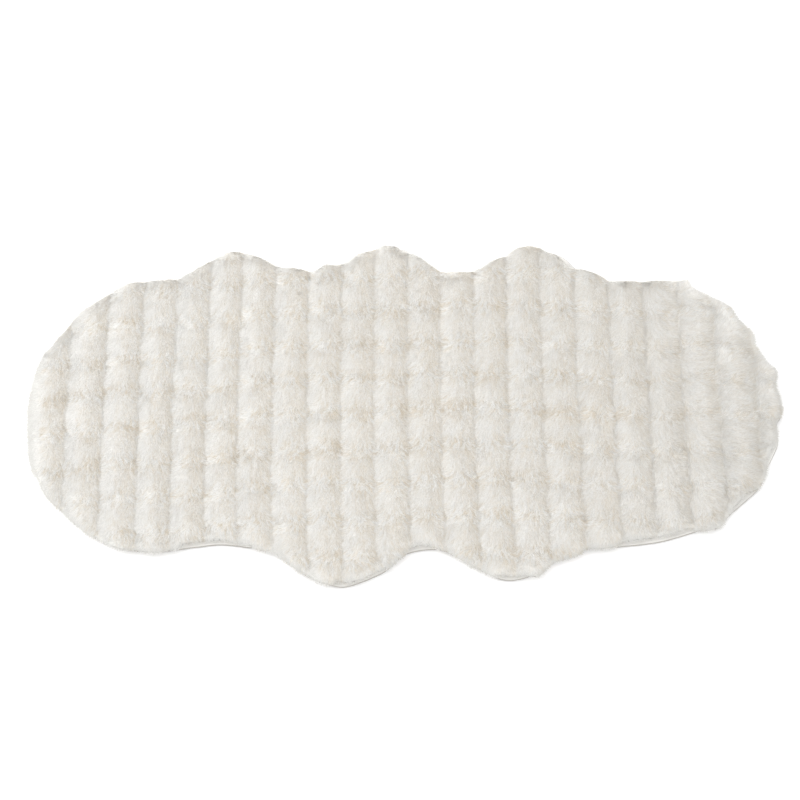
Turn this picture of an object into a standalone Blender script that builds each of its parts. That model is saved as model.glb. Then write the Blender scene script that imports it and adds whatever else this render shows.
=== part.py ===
"""Bath runner: a flat, wavy-edged mat of plush pile, pressed into ribs and rows of
soft bubbles, with a woven tape bound round the edge of its ground cloth.

Two pieces, as they are cut and sewn:
  fur_panel     ground cloth and pile in one cut piece, a lumpy slab with locks at its rim
  edge_binding  tape folded over the edge of the ground cloth, U-shaped in section

Metres, +Z up. The origin is the centre of the bounding box, at floor level; +X runs
along the mat, and -Y is the near edge.
"""

import math

import bmesh
import bpy
import numpy as np
from mathutils.geometry import delaunay_2d_cdt

# The mat's size over its tape; the locks of the pile reach about 3 mm past it
LENGTH = 1.196
WIDTH = 0.593

# Ground cloth and the tape folded over its edge
GAP = 0.0003              # clearance between the cloth and the tape
TAPE_WIDTH = 0.0080       # how far the tape reaches in from the edge
TAPE_THICKNESS = 0.0008
CLOTH_THICKNESS = 0.0020  # cloth inside the fold
TAPE_HEIGHT = CLOTH_THICKNESS + 2 * GAP + 2 * TAPE_THICKNESS

# Pile heights above the floor
CREST_HEIGHT = 0.0240     # top of a bubble
RIB_GROOVE_DEPTH = 0.0070
END_GROOVE_DEPTH = 0.0095 # at the ruffled right end
ROW_GROOVE_DEPTH = 0.0036
RIB_SHARPNESS = 2.6       # how narrow the rib grooves are
ROW_SHARPNESS = 2.2
BUBBLE_SAG = 0.0016       # how much lower one bubble may lie than another
RIM_HEIGHT = 0.0075       # outer side of the pile at the rim
RIM_ROUNDING = 0.0240     # distance over which the pile rises to full height

# Ribs run across the mat, rows along it
RIB_GROOVES = (           # x of the grooves between the ribs; the outermost lie past the mat
    -0.7200, -0.6570, -0.5970, -0.5360, -0.4775, -0.4215, -0.3675, -0.3140, -0.2630,
    -0.2090, -0.1540, -0.1000, -0.0470, 0.0065, 0.0600, 0.1135, 0.1670, 0.2225,
    0.2785, 0.3340, 0.3905, 0.4480, 0.5050, 0.5650, 0.6270, 0.6900, 0.7550,
)
RIB_COUNT = 22
RIB_BEND = 0.0025         # how far the grooves bend to the right near the mat's long edges
ROW_PITCH = 0.0610
ROW_SHIFT = -0.0060
ROW_COUNT = 11
ROW_BOW = (               # the rows droop towards -Y at both ends
    # x, droop
    (-0.600, 0.040),
    (-0.520, 0.032),
    (-0.400, 0.020),
    (-0.290, 0.012),
    (-0.200, 0.004),
    (0.000, -0.001),
    (0.200, -0.004),
    (0.330, 0.003),
    (0.450, 0.012),
    (0.600, 0.020),
)
RIB_SAMPLES = (0.0, 0.17, 0.50, 0.83)   # fractions of a rib, the groove at 0
ROW_SAMPLES = (0.0, 0.22, 0.50, 0.78)   # fractions of a row, the groove at 0

# Locks at the rim
STATIONS = 220            # points round the mat
LOCK_REACH = 0.0026       # how far a lock stands out from its neighbours
COVERED = -0.0008         # pile edge from the tape's edge, where it hides the tape
BARE = 0.0062             # and where it leaves the tape showing

# The edge of the mat, clockwise from the middle of the left end
EDGE = (
    # x, y; the left end
    (-0.595, -0.029), (-0.595, 0.029), (-0.580, 0.098), (-0.567, 0.116), (-0.553, 0.136),
    (-0.528, 0.173),
    # far left shoulder
    (-0.500, 0.196), (-0.452, 0.229), (-0.385, 0.238), (-0.368, 0.240), (-0.347, 0.251),
    # first far crest
    (-0.304, 0.279), (-0.270, 0.288), (-0.211, 0.261),
    # first far dip
    (-0.180, 0.257), (-0.147, 0.252), (-0.127, 0.262), (-0.110, 0.262), (-0.097, 0.269),
    # second far crest
    (-0.069, 0.288), (-0.029, 0.296), (0.003, 0.293), (0.035, 0.275),
    # second far dip
    (0.057, 0.251), (0.084, 0.246), (0.118, 0.250),
    # third far crest
    (0.152, 0.269), (0.203, 0.290), (0.257, 0.280), (0.284, 0.255),
    # third far dip
    (0.316, 0.241), (0.339, 0.229), (0.368, 0.227),
    # far right shoulder
    (0.445, 0.225), (0.496, 0.205), (0.517, 0.184), (0.543, 0.154),
    # right end
    (0.581, 0.078), (0.593, 0.058), (0.591, 0.040), (0.597, -0.014), (0.591, -0.027),
    (0.589, -0.042), (0.589, -0.064), (0.581, -0.084), (0.563, -0.117),
    # near right shoulder
    (0.552, -0.142), (0.506, -0.184), (0.487, -0.203), (0.469, -0.207), (0.390, -0.230),
    # first near dip
    (0.304, -0.239), (0.281, -0.240), (0.263, -0.250), (0.229, -0.261),
    # first near crest
    (0.195, -0.283), (0.145, -0.289), (0.078, -0.252),
    # second near dip
    (0.055, -0.240), (0.028, -0.239), (-0.006, -0.248),
    # second near crest
    (-0.035, -0.275), (-0.086, -0.297), (-0.114, -0.297), (-0.153, -0.281), (-0.199, -0.246),
    # third near dip
    (-0.223, -0.233), (-0.245, -0.232), (-0.288, -0.227), (-0.327, -0.231),
    # near left shoulder
    (-0.392, -0.238), (-0.455, -0.228), (-0.501, -0.200),
    # left end again
    (-0.555, -0.149), (-0.571, -0.120), (-0.587, -0.092),
)

# Where the pile stands back from the tape: side of the mat (+1 far, -1 near), from x, to x
BARE_TAPE = (
    # side, start, end
    (-1, -0.350, -0.238),
    (-1, -0.114, -0.030),
    (-1, 0.004, 0.040),
    (-1, 0.140, 0.192),
    (-1, 0.330, 0.450),
    (-1, 0.508, 0.545),
    (-1, 0.572, 0.590),
    (1, -0.098, -0.044),
    (1, -0.008, 0.046),
    (1, 0.232, 0.284),
    (1, 0.466, 0.510),
)


def clear_scene():
    for thing in list(bpy.data.objects):
        bpy.data.objects.remove(thing, do_unlink=True)


def hash_noise(index, seed):
    """A fixed pseudo-random number from 0 to 1 for each whole number."""
    value = np.sin((np.asarray(index, dtype=float) + 1.0) * 12.9898 + seed * 78.233) * 43758.5453
    return value - np.floor(value)


def closed_curve(points, steps):
    """Closed Catmull-Rom curve through the points, with so many steps to a stretch."""
    here = np.asarray(points, dtype=float)
    before, after, later = (np.roll(here, shift, axis=0) for shift in (1, -1, -2))
    run = []
    for t in np.linspace(0.0, 1.0, steps, endpoint=False):
        run.append(0.5 * (2.0 * here + (after - before) * t
                          + (2.0 * before - 5.0 * here + 4.0 * after - later) * t ** 2
                          + (3.0 * here - before - 3.0 * after + later) * t ** 3))
    return np.stack(run, axis=1).reshape(-1, 2)


def even_stations(curve, count):
    """The closed curve again, as so many points an equal distance apart."""
    closed = np.vstack([curve, curve[:1]])
    travelled = np.concatenate([[0.0], np.cumsum(np.linalg.norm(np.diff(closed, axis=0), axis=1))])
    marks = np.linspace(0.0, travelled[-1], count, endpoint=False)
    return np.column_stack([np.interp(marks, travelled, closed[:, axis]) for axis in (0, 1)])


def inward_normals(loop):
    """Unit normals that point into a clockwise loop."""
    along = np.roll(loop, -1, axis=0) - np.roll(loop, 1, axis=0)
    along /= np.linalg.norm(along, axis=1)[:, None]
    return np.column_stack([along[:, 1], -along[:, 0]])


def distance_to(loop, points):
    """Distance from each point to the closed loop."""
    start = loop[None, :, :]
    span = np.roll(loop, -1, axis=0)[None, :, :] - start
    offset = points[:, None, :] - start
    share = np.clip((offset * span).sum(2) / (span ** 2).sum(2), 0.0, 1.0)
    return np.linalg.norm(offset - share[:, :, None] * span, axis=2).min(axis=1)


# Ribs and rows: u counts ribs from the left end, v counts rows from the near edge

def rib_groove_x(index):
    """x of a groove between two ribs, or of a place between two grooves."""
    return np.interp(index, np.arange(-2, RIB_COUNT + 3), RIB_GROOVES)


def row_groove_y(index):
    """y of a groove between two rows, before the rows bow; their pitch isn't quite even."""
    from_middle = np.asarray(index, dtype=float) - (ROW_COUNT - 1) / 2
    uneven = 0.0028 * np.sin(2.1 * from_middle + 0.6)
    return ROW_SHIFT + ROW_PITCH * from_middle + uneven


def rib_bend(y):
    """The ribs are a little bent, by so much at y."""
    return RIB_BEND * (y / 0.24) ** 2 - 0.0008


def row_bow(x):
    """The rows droop towards -Y at both ends of the mat."""
    places, droops = zip(*ROW_BOW)
    return -np.interp(x, places, droops)


def rib_and_row(points):
    """Rib and row coordinates (u, v) of places on the mat."""
    ribs = np.arange(-2, RIB_COUNT + 3)
    rows = np.arange(-2, ROW_COUNT + 3)
    x, y = points[:, 0], points[:, 1]
    u = np.interp(x - rib_bend(y), rib_groove_x(ribs), ribs)
    v = np.interp(y - row_bow(x), row_groove_y(rows), rows)
    return u, v


def place_of(u, v):
    """Place on the mat of rib and row coordinates: rib_and_row the other way round."""
    x, y = rib_groove_x(u), row_groove_y(v)
    for _ in range(4):
        x = rib_groove_x(u) + rib_bend(y)
        y = row_groove_y(v) + row_bow(x)
    return np.column_stack([x, y])


def groove(fraction, sharpness):
    """1 in a groove, falling to 0 over the crest of a rib or row."""
    return np.abs(np.cos(math.pi * fraction)) ** sharpness


def relief(points):
    """Height of the pile away from the rim: bubbles between rib and row grooves."""
    u, v = rib_and_row(points)
    bubble = np.floor(u) * 31 + np.floor(v)
    at_rib_groove = groove(u, RIB_SHARPNESS)
    at_row_groove = groove(v, ROW_SHARPNESS)
    crown = (1.0 - groove(u, 1.0)) * (1.0 - groove(v, 1.0))
    sag = BUBBLE_SAG * hash_noise(bubble, 5) * crown
    fullness = 1.0 - 0.30 * hash_noise(bubble, 3)
    row_depth = ROW_GROOVE_DEPTH * fullness * (1.0 - 0.45 * at_rib_groove)
    rib_depth = np.interp(points[:, 0], (0.28, 0.46), (RIB_GROOVE_DEPTH, END_GROOVE_DEPTH))
    return CREST_HEIGHT - sag - rib_depth * at_rib_groove - row_depth * at_row_groove


def pile_height(points, rim):
    """Height of the pile: the relief, rounded down to the rim."""
    rise = np.clip(distance_to(rim, points) / RIM_ROUNDING, 0.0, 1.0)
    rounding = np.sqrt(1.0 - (1.0 - rise) ** 2)
    return RIM_HEIGHT + (relief(points) - RIM_HEIGHT) * rounding


def pile_edge(edge):
    """How far in from the mat's edge the pile ends, station by station, with its locks."""
    bare = np.zeros(len(edge))
    for side, start, end in BARE_TAPE:
        on_side = np.sign(edge[:, 1]) == side
        bare[on_side & (edge[:, 0] >= start) & (edge[:, 0] <= end)] = 1.0
    bare = (np.roll(bare, 1) + 2.0 * bare + np.roll(bare, -1)) / 4.0
    station = np.arange(len(edge))
    standing = np.where(station % 2 == 0, 1.0, -0.5) * (0.35 + 0.65 * hash_noise(station, 1))
    reach = LOCK_REACH * standing * (1.0 - 0.55 * bare)
    return COVERED + (BARE - COVERED) * bare - reach


def lay_ring(mesh, places, height):
    """A closed ring of vertices at a height, or at a height for each vertex."""
    heights = np.broadcast_to(height, len(places))
    return [mesh.verts.new((x, y, z)) for (x, y), z in zip(places, heights)]


def skin_between(mesh, lower, upper):
    """A band of quads between two rings with as many vertices."""
    for i in range(len(lower)):
        j = (i + 1) % len(lower)
        mesh.faces.new((lower[i], lower[j], upper[j], upper[i]))


def skin_relief(mesh, rim_ring, rim, inner_points):
    """The upper face: triangles over the rim ring and the points of the relief."""
    flat = [tuple(place) for place in np.vstack([rim, inner_points])]
    edges = [(i, (i + 1) % len(rim)) for i in range(len(rim))]
    places, _, triangles, sources, _, _ = delaunay_2d_cdt(flat, edges, [], 1, 1e-7)
    heights = pile_height(np.array([tuple(place) for place in places]), rim)
    verts = []
    for place, height, source in zip(places, heights, sources):
        on_rim = [i for i in source if i < len(rim)]
        verts.append(rim_ring[on_rim[0]] if on_rim else mesh.verts.new((*place, height)))
    for triangle in triangles:
        mesh.faces.new([verts[i] for i in triangle])


def build_fur_panel(edge, normals, material, collection):
    """Ground cloth with its edge inside the tape, and the pile over it."""
    inside_tape = TAPE_WIDTH + GAP
    cloth_edge = TAPE_THICKNESS + GAP
    tape_top = TAPE_HEIGHT + GAP
    pile_in = pile_edge(edge)
    rim = edge + normals * pile_in[:, None]

    mesh = bmesh.new()
    rings = []
    for inset, height in (
            (inside_tape, 0.0),                                    # underside, on the floor
            (inside_tape, cloth_edge),                             # step up over the tape
            (cloth_edge, cloth_edge),                              # cloth inside the fold
            (cloth_edge, cloth_edge + CLOTH_THICKNESS),
            (inside_tape, cloth_edge + CLOTH_THICKNESS),
            (inside_tape, tape_top)):                              # up past the tape
        rings.append(lay_ring(mesh, edge + normals * inset, height))
    rings.append(lay_ring(mesh, rim, tape_top))                    # out over the tape
    rings.append(lay_ring(mesh, rim, RIM_HEIGHT))
    for lower, upper in zip(rings, rings[1:]):
        skin_between(mesh, lower, upper)

    shoulder = edge + normals * (pile_in[:, None] * 0.6 + 0.0065)
    bank = edge + normals * 0.0150
    u = np.array([rib + part for rib in range(-1, RIB_COUNT + 1) for part in RIB_SAMPLES])
    v = np.array([row + part for row in range(-1, ROW_COUNT + 1) for part in ROW_SAMPLES])
    grid_u, grid_v = (grid.ravel() for grid in np.meshgrid(u, v))
    field = place_of(grid_u, grid_v)
    inside = inside_loop(edge, field) & (distance_to(edge, field) > 0.0215)
    skin_relief(mesh, rings[-1], rim, np.vstack([shoulder, bank, field[inside]]))
    mesh.faces.new(rings[0])
    return finish_mesh(mesh, "fur_panel", material, collection)


def inside_loop(loop, points):
    """Which points lie inside the closed loop."""
    x, y = points[:, 0:1], points[:, 1:2]
    x0, y0 = loop[None, :, 0], loop[None, :, 1]
    x1, y1 = np.roll(loop[:, 0], -1)[None, :], np.roll(loop[:, 1], -1)[None, :]
    straddles = (y0 > y) != (y1 > y)
    with np.errstate(divide="ignore", invalid="ignore"):
        crossing = x < x0 + (y - y0) * (x1 - x0) / (y1 - y0)
    return (straddles & crossing).sum(axis=1) % 2 == 1


def build_edge_binding(edge, normals, material, collection):
    """The tape: an open U-shaped strip round the mat, given its thickness by Solidify."""
    half = TAPE_THICKNESS / 2
    mesh = bmesh.new()
    strip = []
    for inset, height in (
            (TAPE_WIDTH, half),
            (half, half),
            (half, TAPE_HEIGHT - half),
            (TAPE_WIDTH, TAPE_HEIGHT - half)):
        strip.append(lay_ring(mesh, edge + normals * inset, height))
    for lower, upper in zip(strip, strip[1:]):
        skin_between(mesh, lower, upper)
    tape = finish_mesh(mesh, "edge_binding", material, collection)
    solidify = tape.modifiers.new("tape thickness", "SOLIDIFY")
    solidify.thickness = TAPE_THICKNESS
    solidify.offset = 0.0
    solidify.use_even_offset = True
    return tape


def finish_mesh(mesh, name, material, collection):
    """Turn the bmesh into a named, shaded object with its material."""
    bmesh.ops.recalc_face_normals(mesh, faces=mesh.faces)
    data = bpy.data.meshes.new(name)
    mesh.to_mesh(data)
    mesh.free()
    data.shade_smooth()
    data.set_sharp_from_angle(angle=math.radians(40))
    data.materials.append(material)
    piece = bpy.data.objects.new(name, data)
    collection.objects.link(piece)
    return piece


def cloth_material(name, colour, roughness):
    material = bpy.data.materials.new(name)
    material.use_nodes = True
    shader = material.node_tree.nodes["Principled BSDF"]
    shader.inputs["Base Color"].default_value = (*colour, 1.0)
    shader.inputs["Roughness"].default_value = roughness
    shader.inputs["Metallic"].default_value = 0.0
    return material


def centre_on_origin(pieces):
    """Move the meshes so that the bounding box is centred on the origin, on the floor."""
    points = np.array([vertex.co for piece in pieces for vertex in piece.data.vertices])
    middle = (points.min(axis=0) + points.max(axis=0)) / 2
    for piece in pieces:
        for vertex in piece.data.vertices:
            vertex.co.x -= middle[0]
            vertex.co.y -= middle[1]


def mat_edge():
    """The outer edge of the tape, in even stations, at the mat's size."""
    curve = closed_curve(EDGE, 24)
    lowest, highest = curve.min(axis=0), curve.max(axis=0)
    curve = (curve - (lowest + highest) / 2) * ((LENGTH, WIDTH) / (highest - lowest))
    return even_stations(curve, STATIONS)


def main():
    clear_scene()
    collection = bpy.data.collections.new("bath runner")
    bpy.context.scene.collection.children.link(collection)
    edge = mat_edge()
    normals = inward_normals(edge)
    plush = cloth_material("cream plush pile", (0.78, 0.74, 0.67), 0.95)
    woven = cloth_material("white woven tape", (0.86, 0.84, 0.80), 0.85)
    panel = build_fur_panel(edge, normals, plush, collection)
    tape = build_edge_binding(edge, normals, woven, collection)
    centre_on_origin([panel, tape])


main()
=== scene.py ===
import math

import bpy
import numpy as np
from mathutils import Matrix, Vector
from mathutils.geometry import delaunay_2d_cdt


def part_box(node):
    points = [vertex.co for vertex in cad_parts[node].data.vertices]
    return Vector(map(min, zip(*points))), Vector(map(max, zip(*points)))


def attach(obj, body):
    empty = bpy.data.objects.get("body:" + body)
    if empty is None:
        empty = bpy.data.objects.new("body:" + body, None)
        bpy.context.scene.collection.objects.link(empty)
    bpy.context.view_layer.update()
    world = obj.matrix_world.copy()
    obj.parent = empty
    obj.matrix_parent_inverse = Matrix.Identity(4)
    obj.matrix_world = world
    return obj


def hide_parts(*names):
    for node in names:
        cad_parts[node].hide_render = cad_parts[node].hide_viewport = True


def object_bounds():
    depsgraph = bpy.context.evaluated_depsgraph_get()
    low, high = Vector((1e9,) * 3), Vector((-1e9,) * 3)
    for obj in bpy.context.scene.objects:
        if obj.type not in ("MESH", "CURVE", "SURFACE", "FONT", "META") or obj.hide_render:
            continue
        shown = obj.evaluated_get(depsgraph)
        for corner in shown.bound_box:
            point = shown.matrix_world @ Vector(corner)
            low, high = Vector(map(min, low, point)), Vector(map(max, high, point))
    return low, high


# Bath runner: off-white plush faux fur, pressed into ribs and rows of soft bubbles, with a
# narrow woven tape bound round its wavy edge. Metres, +Z up; the mat lies flat on the floor.
# The pile is some 400,000 tufts, grown from maps of its height, lie and tone over the mat's plan.

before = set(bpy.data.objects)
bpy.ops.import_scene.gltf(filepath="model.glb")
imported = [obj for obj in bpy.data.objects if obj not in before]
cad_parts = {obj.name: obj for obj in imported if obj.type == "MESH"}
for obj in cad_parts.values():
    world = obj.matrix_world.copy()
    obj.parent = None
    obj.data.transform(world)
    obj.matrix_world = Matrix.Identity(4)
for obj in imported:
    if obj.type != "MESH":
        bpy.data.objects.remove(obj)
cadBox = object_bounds()
tapeLow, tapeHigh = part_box("edge_binding")
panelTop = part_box("fur_panel")[1].z
print("frame loaded:", sorted(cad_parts))

outline = {
    "stations": 620,      # even places round the edge, about 5 mm apart
    "steps": 24,          # of the curve between two points
    "points": (           # x, y of the tape's outer edge, clockwise from the left end's middle
        (-0.595, -0.029), (-0.595, 0.029), (-0.580, 0.098), (-0.567, 0.116), (-0.553, 0.136),
        (-0.528, 0.173), (-0.500, 0.196), (-0.452, 0.229), (-0.385, 0.238), (-0.368, 0.240),
        (-0.347, 0.251), (-0.304, 0.279), (-0.270, 0.288), (-0.211, 0.261), (-0.180, 0.257),
        (-0.147, 0.252), (-0.127, 0.262), (-0.110, 0.262), (-0.097, 0.269), (-0.069, 0.288),
        (-0.029, 0.296), (0.003, 0.293), (0.035, 0.275), (0.057, 0.251), (0.084, 0.246),
        (0.118, 0.250), (0.152, 0.269), (0.203, 0.290), (0.257, 0.280), (0.284, 0.255),
        (0.316, 0.241), (0.339, 0.229), (0.368, 0.227), (0.445, 0.225), (0.496, 0.205),
        (0.517, 0.184), (0.543, 0.154), (0.581, 0.078), (0.593, 0.058), (0.591, 0.040),
        (0.597, -0.014), (0.591, -0.027), (0.589, -0.042), (0.589, -0.064), (0.581, -0.084),
        (0.563, -0.117), (0.552, -0.142), (0.506, -0.184), (0.487, -0.203), (0.469, -0.207),
        (0.390, -0.230), (0.304, -0.239), (0.281, -0.240), (0.263, -0.250), (0.229, -0.261),
        (0.195, -0.283), (0.145, -0.289), (0.078, -0.252), (0.055, -0.240), (0.028, -0.239),
        (-0.006, -0.248), (-0.035, -0.275), (-0.086, -0.297), (-0.114, -0.297), (-0.153, -0.281),
        (-0.199, -0.246), (-0.223, -0.233), (-0.245, -0.232), (-0.288, -0.227), (-0.327, -0.231),
        (-0.392, -0.238), (-0.455, -0.228), (-0.501, -0.200), (-0.555, -0.149), (-0.571, -0.120),
        (-0.587, -0.092)),
}


def closedCurve(points, steps):
    # closed Catmull-Rom curve, with so many steps to a stretch
    here = np.asarray(points, dtype=float)
    before, after, later = (np.roll(here, shift, axis=0) for shift in (1, -1, -2))
    run = []
    for t in np.linspace(0.0, 1.0, steps, endpoint=False):
        run.append(0.5 * (2 * here + (after - before) * t
                          + (2 * before - 5 * here + 4 * after - later) * t ** 2
                          + (3 * here - before - 3 * after + later) * t ** 3))
    return np.stack(run, axis=1).reshape(-1, 2)


def evenStations(curve, count):
    closed = np.vstack([curve, curve[:1]])
    travelled = np.concatenate([[0], np.cumsum(np.linalg.norm(np.diff(closed, axis=0), axis=1))])
    marks = np.linspace(0, travelled[-1], count, endpoint=False)
    return np.column_stack([np.interp(marks, travelled, closed[:, axis]) for axis in (0, 1)])


def inwardNormals(loop):
    along = np.roll(loop, -1, axis=0) - np.roll(loop, 1, axis=0)
    along /= np.linalg.norm(along, axis=1)[:, None]
    return np.column_stack([along[:, 1], -along[:, 0]])


def matEdge(stations):
    # the same curve as the cloth's, fitted to the tape's box in the frame
    curve = closedCurve(outline["points"], outline["steps"])
    low, high = curve.min(axis=0), curve.max(axis=0)
    boxLow, boxHigh = np.array(tapeLow[:2]), np.array(tapeHigh[:2])
    curve = (curve - low) / (high - low) * (boxHigh - boxLow) + boxLow
    return evenStations(curve, stations)


edge = matEdge(outline["stations"])
edgeNormals = inwardNormals(edge)


# every noise has a seed of its own, so that the mat is the same each time it is made
noiseCells = 512    # it repeats after so many cells, which is further than the mat reaches


def smoothNoise(x, y, size, seed):
    # value noise from -1 to 1, in cells of a real size
    lattice = np.random.default_rng(seed).uniform(-1.0, 1.0, (noiseCells, noiseCells))
    gx, gy = x / size + 131.7, y / size + 77.3    # any part of the lattice serves
    ix, iy = np.floor(gx).astype(int), np.floor(gy).astype(int)
    fx, fy = gx - ix, gy - iy
    fx, fy = fx * fx * (3 - 2 * fx), fy * fy * (3 - 2 * fy)
    corner = [[lattice[(iy + j) % noiseCells, (ix + i) % noiseCells] for i in (0, 1)] for j in (0, 1)]
    lower = corner[0][0] * (1 - fx) + corner[0][1] * fx
    upper = corner[1][0] * (1 - fx) + corner[1][1] * fx
    return lower * (1 - fy) + upper * fy


def cellNoise(a, b, seed):
    # one fixed number from 0 to 1 for each pair of whole numbers
    lattice = np.random.default_rng(seed).uniform(0.0, 1.0, (noiseCells, noiseCells))
    return lattice[np.asarray(a, dtype=int) % noiseCells, np.asarray(b, dtype=int) % noiseCells]


def smoothStep(low, high, value):
    # 0 at low, 1 at high, whichever is the greater
    t = np.clip((value - low) / (high - low), 0.0, 1.0)
    return t * t * (3 - 2 * t)


# everything about the pile is first drawn on one raster of the mat's plan
raster = {
    "step": 0.0015,
    "coarse": 0.0050,    # step of the raster on which the way to the edge is measured
    "nearEdge": 0.006,   # closer than this it is measured square to the edge, which is smoother
    "margin": 0.03,      # past the mat's box
}
rasterLow = np.array([cadBox[0].x, cadBox[0].y]) - raster["margin"]
rasterHigh = np.array([cadBox[1].x, cadBox[1].y]) + raster["margin"]
rasterX = np.arange(rasterLow[0], rasterHigh[0], raster["step"])
rasterY = np.arange(rasterLow[1], rasterHigh[1], raster["step"])
gridX, gridY = np.meshgrid(rasterX, rasterY)
rowShare = 0.866    # a triangular grid's row spacing, as a share of its step


def readMap(values, places, step=raster["step"]):
    # a map's value at any place, between its four nearest samples
    gx = np.clip((places[:, 0] - rasterLow[0]) / step, 0, values.shape[1] - 1.001)
    gy = np.clip((places[:, 1] - rasterLow[1]) / step, 0, values.shape[0] - 1.001)
    ix, iy = gx.astype(int), gy.astype(int)
    fx, fy = gx - ix, gy - iy
    lower = values[iy, ix] * (1 - fx) + values[iy, ix + 1] * fx
    upper = values[iy + 1, ix] * (1 - fx) + values[iy + 1, ix + 1] * fx
    return lower * (1 - fy) + upper * fy


def staggeredPlaces(spacing, stray, rng):
    # a triangular grid over the whole raster, each place strayed by a share of the spacing
    gx, gy = np.meshgrid(np.arange(rasterLow[0], rasterHigh[0], spacing),
                         np.arange(rasterLow[1], rasterHigh[1], spacing * rowShare))
    gx = gx + (np.arange(gx.shape[0])[:, None] % 2) * spacing / 2
    return np.column_stack([gx.ravel(), gy.ravel()]) + rng.uniform(-stray, stray, (gx.size, 2)) * spacing


def blurMap(values, passes):
    for _ in range(passes):
        padded = np.pad(values, 1, mode="edge")
        values = (padded[:-2, 1:-1] + padded[2:, 1:-1] + padded[1:-1, :-2] + padded[1:-1, 2:]
                  + 4 * padded[1:-1, 1:-1]) / 8
    return values


rim = {
    "covered": -0.0025,     # where the pile ends, in from the tape's outer edge
    "bare": 0.0060,         # and where it stands back and shows the tape
    "bareBlend": 0.008,     # over this distance the one turns into the other
    "full": 0.0038,         # how much further the pile reaches over the edge at its fullest
    "fullBlend": 0.014,
    "limit": 0.0078,        # it never ends further in or out than this
    "lockSize": 0.011,      # the rim's own locks
    "lockReach": 0.0010,
    "ruffleSize": 0.019,    # bigger tufts at the ruffled right end
    "ruffleReach": 0.0058,
    "ruffledX": (0.40, 0.52),    # where they start, and where they are full
    "grooveIndent": 0.0022,      # the rim draws in a little where a rib groove runs out
    "grooveY": (0.10, 0.16),     # on the long edges alone
    "height": 0.0075,       # of the tips where the pile ends
    "rounding": 0.024,      # over this distance the pile rises to its full height
    "nearWidth": 0.016,     # and this far in its tufts are still the rim's
    "steepest": 0.9,        # rise over run, however steep the rim is
    "fullStretches": (      # side of the mat (+1 far, -1 near), from x, to x
        (1, -0.262, -0.205), (1, -0.092, -0.030), (1, 0.010, 0.044), (1, 0.175, 0.262),
        (1, 0.435, 0.470), (-1, -0.090, -0.035), (-1, 0.165, 0.205), (-1, -0.275, -0.215)),
    "bareStretches": (      # the same where the tape shows
        (-1, -0.350, -0.238), (-1, -0.114, -0.030), (-1, 0.004, 0.040), (-1, 0.140, 0.192),
        (-1, 0.330, 0.450), (-1, 0.508, 0.545), (-1, 0.572, 0.590), (1, -0.098, -0.044),
        (1, -0.008, 0.046), (1, 0.232, 0.284), (1, 0.466, 0.510)),
}

relief = {
    "crest": panelTop - 0.0012,
    "ribGrooves": (         # x of the grooves between the ribs; the outermost lie past the mat
        -0.7200, -0.6570, -0.5970, -0.5360, -0.4775, -0.4215, -0.3675, -0.3140, -0.2630,
        -0.2090, -0.1540, -0.1000, -0.0470, 0.0065, 0.0600, 0.1135, 0.1670, 0.2225,
        0.2785, 0.3340, 0.3905, 0.4480, 0.5050, 0.5650, 0.6270, 0.6900, 0.7550),
    "ribShift": -0.0018,    # the grooves lie this far from those places on the middle line
    "ribBend": 0.0025,      # and bend this much to the right near the long edges
    "halfWidth": 0.24,      # from the middle line to where they do
    "ribWander": (0.030, 0.0006, 0.0016),    # size, how far, and how much further at the right end
    "endShift": 0.0055,     # at the right end the pile falls over its own grooves
    "endShiftX": (0.36, 0.45),
    "ruffledX": (0.25, 0.50), "endX": (0.28, 0.46),    # where the right end's ruffles and depth set in
    "rowPitch": 0.0610, "rowShift": -0.0060, "rowCount": 11,
    "rowStray": 0.0028,     # the rows aren't quite evenly spaced
    "rowWander": (0.022, 0.0030),    # size, how far
    "rowJump": 0.008,       # how far one rib's rows stand off the next rib's
    "rowDroop": (           # x and how far the rows have drooped towards the near edge there
        (-0.600, 0.040), (-0.520, 0.032), (-0.400, 0.020), (-0.290, 0.012), (-0.200, 0.004),
        (0.000, -0.001), (0.200, -0.004), (0.330, 0.003), (0.450, 0.012), (0.600, 0.020)),
    "ribDepth": 0.0055, "ribRoundness": 0.70,
    "endDepth": 0.0031, "endRoundness": 0.65,    # how much more of each at the right end
    "ribLean": 0.90,        # below 1 a rib's left flank is the steeper one
    "rowDepth": 0.0019,
    "rowFullness": (0.7, 0.5),    # least share of that depth, and what chance adds
    "scallop": 0.0030,      # a bubble is this much wider at its middle than where two rows meet
    "sag": 0.0014,          # how much lower one bubble may lie than another
    "lumps": ((0.030, 0.0005), (0.013, 0.0002), (0.006, 0.0001)),   # size, height
}


def rowGrooveY(index):
    fromMiddle = index - (relief["rowCount"] - 1) / 2
    stray = relief["rowStray"] * np.sin(2.1 * fromMiddle + 0.6)
    return relief["rowShift"] + relief["rowPitch"] * fromMiddle + stray


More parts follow.
